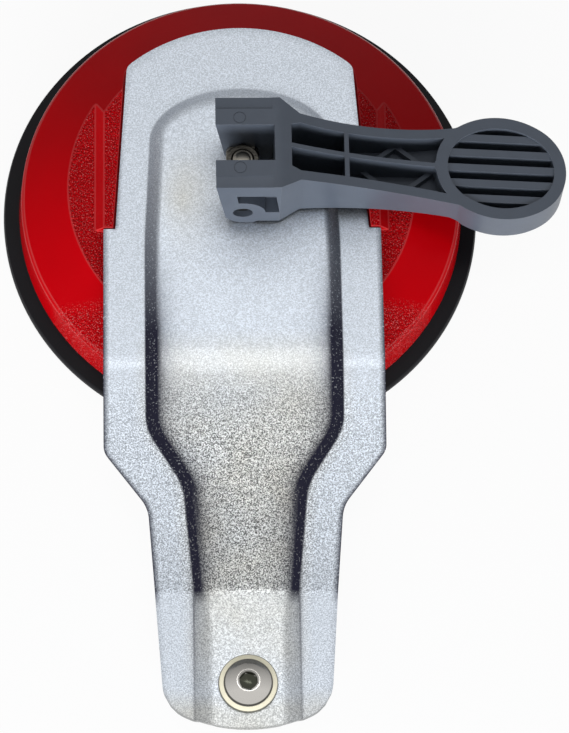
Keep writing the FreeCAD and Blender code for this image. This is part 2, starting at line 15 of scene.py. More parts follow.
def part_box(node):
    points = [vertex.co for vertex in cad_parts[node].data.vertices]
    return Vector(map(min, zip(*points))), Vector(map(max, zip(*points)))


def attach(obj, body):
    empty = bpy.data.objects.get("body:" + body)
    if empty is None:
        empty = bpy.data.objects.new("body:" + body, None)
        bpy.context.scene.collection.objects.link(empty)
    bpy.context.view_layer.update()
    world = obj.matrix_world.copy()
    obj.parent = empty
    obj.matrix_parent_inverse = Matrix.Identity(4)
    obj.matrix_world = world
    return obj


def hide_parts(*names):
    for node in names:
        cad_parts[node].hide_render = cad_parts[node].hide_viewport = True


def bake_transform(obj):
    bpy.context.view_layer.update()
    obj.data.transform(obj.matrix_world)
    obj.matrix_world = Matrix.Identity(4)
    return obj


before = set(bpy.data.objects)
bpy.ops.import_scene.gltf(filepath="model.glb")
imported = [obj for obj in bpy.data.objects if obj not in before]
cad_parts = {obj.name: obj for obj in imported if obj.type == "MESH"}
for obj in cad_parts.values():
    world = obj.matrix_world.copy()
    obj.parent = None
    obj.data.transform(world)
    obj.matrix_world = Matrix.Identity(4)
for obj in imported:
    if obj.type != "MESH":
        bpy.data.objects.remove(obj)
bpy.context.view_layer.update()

bl_info = {
    "name": "Floor tile lifter",
    "version": (1, 0, 0),
    "blender": (4, 5, 0),
    "location": "View3D > Sidebar > Lifter",
    "description": "Builds the looks of a suction lifter for floor tiles round its packed frame",
    "category": "Add Mesh",
}

MM = 0.001
SHEET = 2.5                         # thickness of the arm plate
# Marks on the arm plate: walls darkened as drawn finish and painted shade, a smoothed bend, a straw
# tint with one painted reflection, coarser grain, and painted light and shade by zone.
PLATE_MARKS = ("drawn_finish_and_painted_shade", "burnish", "warm", "blasted", "tone")


def linear(code):
    """Linear red, green and blue of an sRGB hex code."""
    srgb = np.array([int(code[i:i + 2], 16) for i in (0, 2, 4)]) / 255.0
    return tuple(np.where(srgb <= 0.04045, srgb / 12.92, ((srgb + 0.055) / 1.055) ** 2.4))


def corners(node):
    """Lowest and highest corner of a CAD node at rest, in millimetres."""
    low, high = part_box(node)
    return np.array(low) / MM, np.array(high) / MM


def colour(name, code):
    """Setting for a base colour, from its hex code."""
    return FloatVectorProperty(name=name, description="Base colour of the " + name.lower(),
                               subtype="COLOR", size=3, min=0.0, max=1.0, default=linear(code))


def length(name, description, default_mm):
    """Setting for a length, from its millimetres."""
    return FloatProperty(name=name, description=description, subtype="DISTANCE",
                         unit="LENGTH", min=0.0, default=default_mm * MM)


# ---- sizes and colours that a user would change --------------------------------------

class LifterSizes(bpy.types.PropertyGroup):
    """Sizes of the pieces made here"""
    sheet: length("Sheet", "Thickness of the pressed arm plate", SHEET)
    bend_half: length("Bend", "Half the length of the channel's first bend", 5.5)
    crease_half: length("Crease", "Half the length of the flanges' bends", 0.7)
    channel_top: length("Channel top", "Half the width of the rounding on top of the channel", 1.5)
    channel_foot: length("Channel foot", "Half the width of the rounding at its foot", 0.35)
    moulded_edge: length("Moulded edge", "Rounding of the lever's edges", 0.7)
    disc_edge: length("Disc edge", "Rounding of the red disc's edges", 0.35)
    mark_depth: length("Mark depth", "Depth of the moulding marks on the lever", 0.18)
    turns: IntProperty(name="Spring turns", description="Half turns of the return spring",
                       min=3, max=12, default=6)


class LifterColours(bpy.types.PropertyGroup):
    """Base colours of the materials"""
    rubber: colour("Rubber cup", "0E0E11")
    disc: colour("Red disc", "BC000A")
    steel: colour("Arm plate", "C4CBD4")
    steel_warm: colour("Warm patches on the plate", "B4AF9F")
    lever: colour("Lever", "4B525D")
    screw: colour("Screw head", "C4C1BC")
    collar: colour("Screw collar", "FBF5DC")
    fastener: colour("Nuts, stud and pins", "807C74")
    wire: colour("Spring wire", "77787A")
    bush: colour("Bush", "D8D2C0")


# ---- surfaces -------------------------------------------------------------------------

@contextmanager
def editing(mesh, source=None):
    """Opens a mesh, or the source to copy into it, for editing and writes it back."""
    work = bmesh.new()
    work.from_mesh(source or mesh)
    yield work
    work.to_mesh(mesh)
    work.free()


def placed(name, mesh):
    """Object for a mesh, in the scene."""
    thing = bpy.data.objects.new(name, mesh)
    bpy.context.scene.collection.objects.link(thing)
    return thing


def grid_faces(rows, columns, wrap=False):
    """Quads of a grid of points numbered row by row; wrap joins the last column to the first."""
    index = np.arange(rows * columns).reshape(rows, columns)
    right = np.roll(index, -1, axis=1) if wrap else index[:, 1:]
    left = index if wrap else index[:, :-1]
    return np.stack([left[:-1], right[:-1], right[1:], left[1:]], axis=-1).reshape(-1, 4)


def piece(name, points, faces, weld=1e-4):
    """Mesh object from points in millimetres; points closer than weld become one."""
    mesh = bpy.data.meshes.new(name)
    mesh.from_pydata((points.reshape(-1, 3) * MM).tolist(), [], faces.tolist())
    with editing(mesh) as work:
        bmesh.ops.remove_doubles(work, verts=work.verts, dist=weld * MM)
        bmesh.ops.dissolve_degenerate(work, edges=work.edges, dist=weld * MM)
    return placed(name, mesh)


def rounded(points, radii, step=0.5):
    """Path through corner points with each corner swapped for an arc of its radius.

    The arc's centre lies on the corner's bisector, and its points are the slerp
    between the two radii that end on the corner's sides.
    """
    points = np.asarray(points, float)
    path = [points[0]]
    for before, corner, after, radius in zip(points, points[1:], points[2:], radii):
        u = (before - corner) / np.linalg.norm(before - corner)
        v = (after - corner) / np.linalg.norm(after - corner)
        half = math.acos(np.clip(u @ v, -1, 1)) / 2
        if radius <= 0 or half > math.pi / 2 - 1e-3:
            path.append(corner)
            continue
        centre = corner + (u + v) / np.linalg.norm(u + v) * radius / math.sin(half)
        reach = radius / math.tan(half)
        a, b = corner + u * reach - centre, corner + v * reach - centre
        turn = math.pi - 2 * half
        count = max(2, int(math.ceil(turn * radius / step)) + 1)
        s = np.linspace(0, 1, count)[:, None]
        path.extend(centre + (np.sin((1 - s) * turn) * a + np.sin(s * turn) * b) / math.sin(turn))
    path.append(points[-1])
    return np.array(path)


def lathe(name, profile, segments=128, reach=None):
    """Surface of revolution about Z: (r cos a, r sin a, z) for each (r, z) of the profile.

    reach, when given, returns the radius for a profile index and the array of angles.
    """
    profile = np.asarray(profile, float)
    angle = np.linspace(0, 2 * math.pi, segments, endpoint=False)
    radius = np.repeat(profile[:, :1], segments, axis=1)
    height = np.repeat(profile[:, 1:2], segments, axis=1)
    if reach is not None:
        radius, height = reach(radius, height, angle)
    grid = np.stack([radius * np.cos(angle), radius * np.sin(angle), height], axis=-1)
    return piece(name, grid, grid_faces(len(profile), segments, wrap=True))


def hexagon_radius(across_flats, angle):
    """Distance from the centre to a hexagon's side in each direction."""
    sector = (angle + math.pi / 6) % (math.pi / 3) - math.pi / 6
    return across_flats / 2 / np.cos(sector)


def coil(name, radius, wire, low, high, turns, steps=64, ring=16):
    """Round wire on a helix: a circle of the wire's radius carried along (R cos a, R sin a, z).

    z stays level for the first and last half turn, which rest on their seats.
    """
    turned = np.linspace(0, turns, int(turns * steps) + 1)
    angle = 2 * math.pi * turned[:, None]
    rise = np.clip((turned - 0.5) / (turns - 1), 0, 1)[:, None]
    level = low + wire / 2 + (high - low - wire) * rise * rise * (3 - 2 * rise)
    around = np.linspace(0, 2 * math.pi, ring, endpoint=False)[None, :]
    thick = np.full(len(turned), wire / 2)[:, None]
    thick[[0, -1]] = 0.0
    reach = radius + thick * np.cos(around)
    points = np.stack([reach * np.cos(angle), reach * np.sin(angle),
                       level + thick * np.sin(around)], axis=-1)
    points = np.concatenate([points[:1], points[1:2], points[1:-1], points[-2:-1], points[-1:]])
    tube = piece(name, points, grid_faces(len(points), ring, wrap=True))
    return outward(tube)


def outward(thing):
    """Turns the faces of a closed piece outwards."""
    with editing(thing.data) as work:
        bmesh.ops.recalc_face_normals(work, faces=work.faces)
    return thing


def hexagon_nut(name, at, low, high, across_flats, bore_r):
    """Nut: a hexagon whose corners are cut by a 30 degree cone at both ends, with a bore."""
    edge_r = across_flats / 2 * 0.96
    lead = 0.5
    mouth_r = bore_r + lead
    rows = [(mouth_r, low), (edge_r, low), (0, low), (0, high), (edge_r, high),
            (mouth_r, high), (bore_r, high - lead), (bore_r, low + lead), (mouth_r, low)]

    def shape(radius, height, angle):
        side = hexagon_radius(across_flats, angle)
        cone = (side - edge_r) * math.tan(math.radians(30))
        radius[2:4] = side
        height[2] = low + cone
        height[3] = high - cone
        return radius, height

    return outward(moved(lathe(name, rows, 96, shape), at))


def moved(thing, at):
    """Puts a piece built about Z over a place, inside its mesh."""
    thing.data.transform(Matrix.Translation(Vector((at[0], at[1], 0.0)) * MM))
    return thing


def thread_rows(radius, pitch, low, high, depth=0.6):
    """Rows (r, z) of a thread, eight to a pitch, and the depth each row may be cut to."""
    level = np.arange(low, high, pitch / 8)
    fade = np.clip(np.minimum(level - low, high - level) / pitch, 0, 1)
    return np.column_stack([np.full(len(level), radius), level]), depth * pitch * fade


def cut_thread(radii, heights, angle, part, pitch, depth):
    """Cuts a helical V groove into some rows of a lathed grid.

    Its depth at (a, z) is a triangle wave of z over the pitch less a over a full turn.
    """
    wave = np.abs(((heights[part] / pitch - angle / (2 * math.pi)) % 1.0) * 2 - 1)
    radii[part] = radii[part] - depth[:, None] * wave


def threaded(name, lower, radius, pitch, low, high):
    """Stud: plain lower end, then a helical V groove, and a domed tip."""
    dome = 0.5
    rows, depth = thread_rows(radius, pitch, low, high - dome)
    arc = np.linspace(0, math.pi / 2, 7)[:, None]
    tip = np.hstack([(radius - dome) * np.cos(arc), high - dome + dome * np.sin(arc)])
    profile = np.vstack([lower, rows, tip])
    part = slice(len(lower), len(lower) + len(rows))

    def shape(radii, heights, angle):
        cut_thread(radii, heights, angle, part, pitch, depth)
        return radii, heights

    stud = outward(lathe(name, profile, 64, shape))
    shade(stud)
    return stud


def button_screw(name, at, tip, seat, top, collar_r):
    """Flanged button head with a hexagon socket, over a threaded shank."""
    shank_r, pitch, socket_flats, socket_mouth = 4.0, 1.25, 5.0, 5.6
    socket_turn = math.radians(15)
    rows, depth = thread_rows(shank_r, pitch, tip + 0.6, seat - 0.3)
    head = rounded([(shank_r, seat), (collar_r, seat), (collar_r, seat + 1.0), (7.5, seat + 1.3),
                    (7.2, seat + 1.35), (6.95, seat + 2.2), (5.4, top - 0.8), (3.6, top),
                    (3.4, top)], [0.15, 0.35, 0.1, 0.1, 0.4, 2.4, 1.6], 0.12)
    socket = np.array([(2.8, top - 0.3), (2.5, top - 0.5), (2.5, top - 2.6), (1.2, top - 3.0),
                       (0.0, top - 3.1)])
    profile = np.vstack([[(0, tip), (3.3, tip)], rows, head, socket])
    part = slice(2, 2 + len(rows))
    mouth = len(profile) - len(socket)

    def shape(radii, heights, angle):
        cut_thread(radii, heights, angle, part, pitch, depth)
        radii[mouth] = hexagon_radius(socket_mouth, angle - socket_turn)
        radii[mouth + 1:mouth + 3] = hexagon_radius(socket_flats, angle - socket_turn)
        return radii, heights

    screw = outward(moved(lathe(name, profile, 96, shape), at))
    shade(screw, 28)
    return screw


def ramp(distance, half):
    """0 before -half, the distance itself past half, and a parabola in between."""
    return np.where(distance <= -half, 0.0,
                    np.where(distance >= half, distance, (distance + half) ** 2 / (4 * half)))


def shade(thing, degrees=32):
    """Smooth faces with hard edges where two faces turn by more than an angle."""
    thing.data.polygons.foreach_set("use_smooth", np.ones(len(thing.data.polygons), bool))
    thing.data.set_sharp_from_angle(angle=math.radians(degrees))


def soften(thing, width, segments=2, degrees=32):
    """Rounds a piece's edges with a live bevel, in the piece's second material if it has one."""
    bevel = thing.modifiers.new("edge", "BEVEL")
    bevel.material = len(thing.data.materials) - 1
    bevel.width = width
    bevel.segments = segments
    bevel.limit_method = "ANGLE"
    bevel.angle_limit = math.radians(degrees)
    bevel.use_clamp_overlap = True
    bevel.harden_normals = True
    bevel.miter_outer = "MITER_ARC"


def even_out(thing):
    """Lets the large faces set the shading at their corners, so that flats stay flat."""
    even = thing.modifiers.new("even", "WEIGHTED_NORMAL")
    even.weight = 100
    even.keep_sharp = True


def merged_copy(name, node):
    """Copy of a CAD node as one welded shell with its flat faces whole again."""
    mesh = bpy.data.meshes.new(name)
    with editing(mesh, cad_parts[node].data) as work:
        bmesh.ops.remove_doubles(work, verts=work.verts, dist=1e-6)
        bmesh.ops.dissolve_limit(work, angle_limit=math.radians(0.5), verts=work.verts,
                                 edges=work.edges, use_dissolve_boundaries=False)
    return placed(name, mesh)


def settle(thing):
    """Makes the modifiers on a piece part of its mesh."""
    graph = bpy.context.evaluated_depsgraph_get()
    mesh = bpy.data.meshes.new_from_object(thing.evaluated_get(graph))
    thing.modifiers.clear()
    thing.data = mesh


def circle(x, y, radius, count=48):
    """Points on a circle: (x + r cos a, y + r sin a)."""
    angle = np.linspace(0, 2 * math.pi, count, endpoint=False)
    return np.stack([x + radius * np.cos(angle), y + radius * np.sin(angle)], axis=-1)


def rectangle(x0, y0, x1, y1):
    """Corners of a rectangle between two opposite ones."""
    return np.array([(x0, y0), (x1, y0), (x1, y1), (x0, y1)], float)


def prism(outline, low=-100.0, high=100.0):
    """Closed upright prism on an outline, between two heights."""
    count = len(outline)
    grid = np.stack([np.column_stack([outline, np.full(count, z)]) for z in (low, high)])
    sides = grid_faces(2, count, wrap=True).tolist()
    caps = [list(range(count - 1, -1, -1)), list(range(count, 2 * count))]
    mesh = bpy.data.meshes.new("cutter")
    mesh.from_pydata((grid.reshape(-1, 3) * MM).tolist(), [], sides + caps)
    return placed("cutter", mesh)


def cut_away(thing, cutters):
    """Cuts closed pieces out of a closed piece, and drops them."""
    for cutter in cutters:
        cut = thing.modifiers.new("cut", "BOOLEAN")
        cut.operation = "DIFFERENCE"
        cut.solver = "EXACT"
        cut.object = cutter
        settle(thing)
        bpy.data.objects.remove(cutter)


def coat(nodes, material):
    """Gives carried-over CAD nodes their material through their objects' slots."""
    for name in nodes:
        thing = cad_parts[name]
        if not thing.material_slots:
            raise RuntimeError(name + " has no material slot")
        for place in thing.material_slots:
            place.link = "OBJECT"
            place.material = material


def finish_piece(thing, body, node, material=None):
    """Gives a piece its body and, when one is passed, its material, and hides the CAD node it
    stands for.
    """
    if material:
        thing.data.materials.append(material)
    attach(thing, body)
    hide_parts(node)


# ---- materials --------------------------------------------------------------------------

def add(tree, kind, inputs=None, **settings):
    """Adds a node; an input is a value, or a socket to link from."""
    node = tree.nodes.new(kind)
    for key, value in settings.items():
        setattr(node, key, value)
    for key, value in (inputs or {}).items():
        if isinstance(value, bpy.types.NodeSocket):
            tree.links.new(value, node.inputs[key])
        else:
            node.inputs[key].default_value = value
    return node


def new_material(name):
    """Empty node material, and its tree."""
    material = bpy.data.materials.new(name)
    material.use_nodes = True
    material.node_tree.nodes.clear()
    return material, material.node_tree


def per_mm(size):
    """Texture scale that gives one cell each so many millimetres."""
    return 1.0 / (size * MM)


def rgba(value, factor=1.0):
    """Colour times a factor, with full alpha."""
    return tuple(c * factor for c in value[:3]) + (1.0,)


def painted_edge_highlight(value, share):
    """A colour moved a share of the way to white, as a painted highlight along moulded edges."""
    return tuple(c + (1 - c) * share for c in value[:3])


def object_place(tree):
    """Place in the object's own frame, in metres, which every texture keeps to."""
    return add(tree, "ShaderNodeTexCoord").outputs["Object"]


def axis(tree, vector, letter):
    """One axis of a vector."""
    return add(tree, "ShaderNodeSeparateXYZ", {"Vector": vector}).outputs[letter]


def noise(tree, place, size, **inputs):
    """Noise with cells of so many millimetres."""
    return add(tree, "ShaderNodeTexNoise",
               {"Vector": place, "Scale": per_mm(size), **inputs}).outputs["Fac"]


def maths(tree, operation, first, second):
    """Result of a sum on two values."""
    return add(tree, "ShaderNodeMath", {0: first, 1: second}, operation=operation).outputs["Value"]


def spread(tree, value, start, end, low=0.0, high=1.0):
    """From low to high as the value goes from start to end, and level outside."""
    return add(tree, "ShaderNodeMapRange", {"Value": value, "From Min": start, "From Max": end,
                                            "To Min": low, "To Max": high}).outputs["Result"]


def blended(tree, share, first, second, blend_type="MIX"):
    """Second colour laid over the first by a share."""
    return add(tree, "ShaderNodeMix", {"Factor": share, "A": first, "B": second},
               data_type="RGBA", blend_type=blend_type).outputs["Result"]


def mottled(tree, share, value, low, high):
    """A colour between two strengths of itself."""
    return blended(tree, share, rgba(value, low), rgba(value, high))


def bumped(tree, height, distance, strength):
    """Normal of a surface with a relief of so many millimetres."""
    return add(tree, "ShaderNodeBump", {"Height": height, "Distance": distance * MM,
                                        "Strength": strength}).outputs["Normal"]


def finished(material, inputs):
    """Ends a material in its shader."""
    tree = material.node_tree
    shader = add(tree, "ShaderNodeBsdfPrincipled", inputs)
    add(tree, "ShaderNodeOutputMaterial", {"Surface": shader.outputs["BSDF"]})
    return material


def nitrile_rubber(colours):
    """Compression moulded nitrile rubber: near black, matt, with a faint bloom."""
    material, tree = new_material("nitrile_rubber_moulded")
    place = object_place(tree)
    bloom = noise(tree, place, 9.0, Detail=3.0)
    return finished(material, {
        "Base Color": mottled(tree, bloom, colours.rubber, 0.7, 1.4),
        "Roughness": 0.5, "Specular IOR Level": 0.12,
        "Normal": bumped(tree, noise(tree, place, 0.6), 0.05, 0.25)})


def red_abs(colours, pale=0.0):
    """Injection moulded ABS: glossy slopes, and a spark-eroded grain with painted glints.

    The grain lies on level faces and on the side of the disc that is under the arm.
    """
    # With pale above nought this is the material of the bevelled edges, paled as a painted
    # highlight.
    material, tree = new_material("abs_moulded_grained" + ("_edge" if pale else ""))
    coords = add(tree, "ShaderNodeTexCoord")
    place = coords.outputs["Object"]
    level = spread(tree, axis(tree, coords.outputs["Normal"], "Z"), 0.985, 0.995)
    under_arm = spread(tree, axis(tree, place, "Y"), -36 * MM, -41 * MM)
    grained = maths(tree, "MAXIMUM", level, under_arm)
    cells = add(tree, "ShaderNodeTexVoronoi", {"Vector": place, "Scale": per_mm(0.6)},
                feature="SMOOTH_F1")
    fine = noise(tree, place, 0.45, Detail=2.0, Roughness=0.8)
    grain = maths(tree, "ADD", cells.outputs["Distance"], fine)
    bump = bumped(tree, grain, 0.5, maths(tree, "MULTIPLY", grained, 0.9))
    patch = noise(tree, place, 22.0, Detail=2.0)
    tone = mottled(tree, patch, painted_edge_highlight(colours.disc, pale), 0.86, 1.08)
    pits = spread(tree, fine, 0.32, 0.6, 0.5, 1.15)
    pitted = blended(tree, grained, tone, pits, "MULTIPLY")
    # Pinkish dots on the grain are painted glints.
    dots = spread(tree, noise(tree, place, 0.42, Detail=1.0), 0.56, 0.75, 0.0, 0.5)
    glint = maths(tree, "MULTIPLY", dots, grained)
    return finished(material, {
        "Base Color": blended(tree, glint, pitted, (0.85, 0.3, 0.3, 1.0)),
        "Roughness": spread(tree, grained, 0.0, 1.0, 0.22, 0.34),
        "IOR": 1.53, "Specular IOR Level": 0.04, "Normal": bump})


def zinc_plate(colours):
    """Pressed steel sheet, blasted and zinc plated: pale blue sparkle over a sandy skin."""
    material, tree = new_material("zinc_plated_sheet")
    place = object_place(tree)
    drawn_finish_and_painted_shade, burnish, warm, blasted, tone = (
        add(tree, "ShaderNodeAttribute", attribute_name=name).outputs["Fac"]
        for name in PLATE_MARKS)
    warmth = maths(tree, "MULTIPLY", noise(tree, place, 26.0, Detail=4.0), warm)
    sand = noise(tree, place, 0.45, Detail=2.0, Roughness=0.9)
    darkest = spread(tree, blasted, 0.0, 1.0, 0.76, 0.2)
    lightest = spread(tree, blasted, 0.0, 1.0, 1.14, 1.85)
    speck = spread(tree, sand, 0.43, 0.59, darkest, lightest)
    base = blended(tree, warmth, rgba(colours.steel), rgba(colours.steel_warm))
    # tone multiplies in the painted light and shade of each zone.
    for layer in (speck, tone):
        base = blended(tree, 1.0, base, layer, "MULTIPLY")
    # The walls go towards near black by their mark: partly drawn finish and partly painted shade
    # and painted dark reflection. Flecks break that painted shade up.
    shade_flecks = spread(tree, noise(tree, place, 0.6, Detail=1.0), 0.62, 0.7, 1.0, 0.6)
    drawn_finish_and_shade_share = maths(tree, "MULTIPLY", drawn_finish_and_painted_shade, shade_flecks)
    return finished(material, {
        "Base Color": blended(tree, drawn_finish_and_shade_share, base, (0.02, 0.02, 0.035, 1.0)), "Metallic": 1.0,
        "Roughness": spread(tree, burnish, 0.0, 1.0, 0.4, 0.36),
        "Normal": bumped(tree, sand, 0.12, 0.6)})


def glass_nylon(colours, pale=0.0):
    """Injection moulded glass-filled nylon: dense grey, satin, with faint flow mottling."""
    # With pale above nought this is the material of the bevelled edges, paled as a painted
    # highlight.
    material, tree = new_material("glass_filled_nylon_moulded" + ("_edge" if pale else ""))
    place = object_place(tree)
    flow = noise(tree, place, 7.0, Detail=4.0, Distortion=0.6)
    return finished(material, {
        "Base Color": mottled(tree, flow, painted_edge_highlight(colours.lever, pale), 0.88, 1.1),
        "Roughness": 0.4, "IOR": 1.53, "Specular IOR Level": 0.3,
        "Normal": bumped(tree, noise(tree, place, 0.5, Detail=2.0), 0.03, 0.35)})


def turned_metal(name, base, roughness, grain=0.25, depth=0.02):
    """Turned or rolled steel: a fine relief of some grain and depth that catches the light."""
    material, tree = new_material(name)
    relief = noise(tree, object_place(tree), grain, Detail=2.0)
    return finished(material, {"Base Color": rgba(base), "Metallic": 1.0, "Roughness": roughness,
                               "Normal": bumped(tree, relief, depth, 0.3)})


def flanged_screw(colours, centre_y):
    """Nickel plated screw: a dome with a painted dark reflection on its far side, and a pale matt
    collar.

    Rings at three radii stand for the groove round the dome, the collar and its outer edge; the
    groove, the outer edge and the socket are painted dark as shade.
    """
    material, tree = new_material("steel_nickel_plated_flanged")
    place = object_place(tree)
    centred = add(tree, "ShaderNodeMapping", {"Vector": place,
                                              "Location": (0.0, -centre_y * MM, 0.0)})
    centred = centred.outputs["Vector"]
    flat = add(tree, "ShaderNodeVectorMath", {0: centred, 1: (1.0, 1.0, 0.0)},
               operation="MULTIPLY")
    away = add(tree, "ShaderNodeVectorMath", {0: flat.outputs["Vector"]}, operation="LENGTH")

    def beyond(radius, soft, low=0.0, high=1.0):
        """From low to high where the distance from the axis passes a radius."""
        return spread(tree, away.outputs["Value"], (radius - soft) * MM, (radius + soft) * MM,
                      low, high)

    pale = mottled(tree, noise(tree, place, 1.6, Detail=3.0), colours.collar, 1.0, 0.85)
    # The dome's far side is painted darker, as a painted dark reflection.
    far_side_painted_reflection = spread(tree, axis(tree, centred, "Y"), -3.0 * MM, 5.0 * MM, 0.0, 0.85)
    dome = mottled(tree, far_side_painted_reflection, colours.screw, 1.0, 0.25)
    # The socket's inside is painted near black as shade.
    tone = blended(tree, beyond(2.75, 0.15), (0.05, 0.052, 0.04, 1.0), dome)
    # The groove round the dome and the collar's outer edge are painted dark as shade.
    for radius, soft, follows in ((6.9, 0.1, (0.05, 0.05, 0.05, 1.0)), (7.35, 0.08, pale),
                                  (8.66, 0.08, (0.12, 0.12, 0.1, 1.0))):
        tone = blended(tree, beyond(radius, soft), tone, follows)
    return finished(material, {"Base Color": tone, "Metallic": beyond(7.1, 0.2, 1.0, 0.3),
                               "Roughness": beyond(7.1, 0.2, 0.2, 0.5)})


def natural_nylon(colours):
    """Extruded natural nylon: milky, mottled, low sheen."""
    material, tree = new_material("nylon_natural_turned")
    mottle = noise(tree, object_place(tree), 3.0)
    return finished(material, {"Base Color": mottled(tree, mottle, colours.bush, 0.9, 1.05),
                               "Roughness": 0.45, "IOR": 1.53})


def seen_directly(tree):
    """1 for a ray from the camera, straight or by way of a mirror or glass, and otherwise 0."""
    path = add(tree, "ShaderNodeLightPath").outputs
    seen = maths(tree, "MAXIMUM", path["Is Camera Ray"], path["Is Glossy Ray"])
    return maths(tree, "MAXIMUM", seen, path["Is Transmission Ray"])


def floor_paper():
    """Seamless paper, seen as white, that still takes the shadow."""
    material, tree = new_material("backdrop_paper")
    share = maths(tree, "MULTIPLY", seen_directly(tree), 0.93)
    paper = add(tree, "ShaderNodeBsdfDiffuse", {"Color": (0.85, 0.85, 0.86, 1.0)})
    glow = add(tree, "ShaderNodeEmission", {"Color": (1.0, 1.0, 1.0, 1.0), "Strength": 1.0})
    mixed = add(tree, "ShaderNodeMixShader", {0: share, 1: paper.outputs["BSDF"],
                                              2: glow.outputs["Emission"]})
    add(tree, "ShaderNodeOutputMaterial", {"Surface": mixed.outputs["Shader"]})
    return material


# ---- arm plate ----------------------------------------------------------------------------

class Plate:
    """Sizes of the pressed arm plate, tied to its CAD box where they reach it."""
    low, high = corners("arm_plate")
    half = high[0]                  # half width of the parallel part
    far_y = high[1]
    tail_y = low[1]
    far_half = 35.6
    step_half = 39.2
    step_y = -15.3
    bend_y = -60.1
    shoulder_y = -86.0
    neck_y = -102.4
    neck_half = 29.6
    crease_y = -127.5
    tail_half = 27.6
    tail_end_half = 25.0
    tail_end_r = 47.0
    tail_meet = 13.0                # where the corner's rounding has run into the end's arc
    margin = half - step_half       # strip outside the line of the step
    emboss = 3.5
    tail_emboss = 2.5
    flange_z = high[2] - emboss
    run = 3.6                       # horizontal run of the channel's walls
    tail_run = 5.0
    end_run = 5.3
    round_y = 14.0                  # where the channel's round end starts
    end_half = 28.5
    end_length = 18.6
    channel_half = 30.1
    tail_flange_z = low[2] + SHEET
    fall = (flange_z - tail_flange_z) / (bend_y - crease_y)
    fan_rays = 181
    tail_row_y = -140.0             # below this the rows bend towards the end's arc


def tail_arc(x):
    """Place of the tail's rounded end at a distance from the middle."""
    return Plate.tail_y + Plate.tail_end_r - np.sqrt(Plate.tail_end_r ** 2 - x ** 2)


def plate_outline():
    """Right half of the arm plate's outline from the far end to the tail, corners rounded."""
    p = Plate
    far_corner_y = math.sqrt(p.far_y ** 2 - p.far_half ** 2)
    start = math.asin(p.far_half / p.far_y)
    angle = np.linspace(0, start, 60)
    crown = np.stack([p.far_y * np.sin(angle), p.far_y * np.cos(angle)], axis=-1)
    drop = p.tail_end_r - math.sqrt(p.tail_end_r ** 2 - p.tail_end_half ** 2)
    far = rounded([crown[-8], (p.far_half, far_corner_y), (p.step_half, p.step_y)], [3.5], 0.3)
    far = np.vstack([crown[:-8], far[:-2], np.linspace(far[-2], far[-1], 60)])
    side = rounded([(p.half, p.step_y), (p.half, p.shoulder_y), (p.neck_half, p.neck_y),
                    (p.tail_half, p.crease_y), (p.tail_end_half, p.tail_y + drop),
                    (p.tail_meet, tail_arc(p.tail_meet))], [5.0, 10.0, 0.0, 12.0], 0.3)
    last = np.linspace(p.tail_meet, 0.0, 20)[1:]
    return far, np.vstack([side, np.column_stack([last, tail_arc(last)])])


def flange_height(y, first_half, second_half):
    """Level, down the slope between two rounded bends, level again."""
    p = Plate
    first = ramp(p.bend_y - y, first_half)
    second = ramp(p.crease_y - y, second_half)
    return p.flange_z - p.fall * (first - second)


def channel_half_width(y):
    """Half width at the channel's foot: straight stretches joined by parabolas."""
    p = Plate
    knots = ((p.round_y, p.end_half, 1.0), (-19.5, p.channel_half, 4.0),
             (-79.5, p.channel_half, 4.0), (-96.0, 19.0, 4.0), (p.crease_y, 16.0, 3.0))
    slopes = [0.0] + [(b[1] - a[1]) / (a[0] - b[0]) for a, b in zip(knots, knots[1:])] + [0.0]
    width = np.full_like(y, p.end_half)
    for (knot_y, _, half), before, after in zip(knots, slopes, slopes[1:]):
        width = width + (after - before) * ramp(knot_y - y, half)
    return width


def wall_profile(share, run, sizes):
    """Share of the channel's height reached at a share of its wall, both ends rounded."""
    foot = sizes.channel_foot / MM / run
    top = sizes.channel_top / MM / run
    return ramp(share, foot) - ramp(share - 1.0, top)


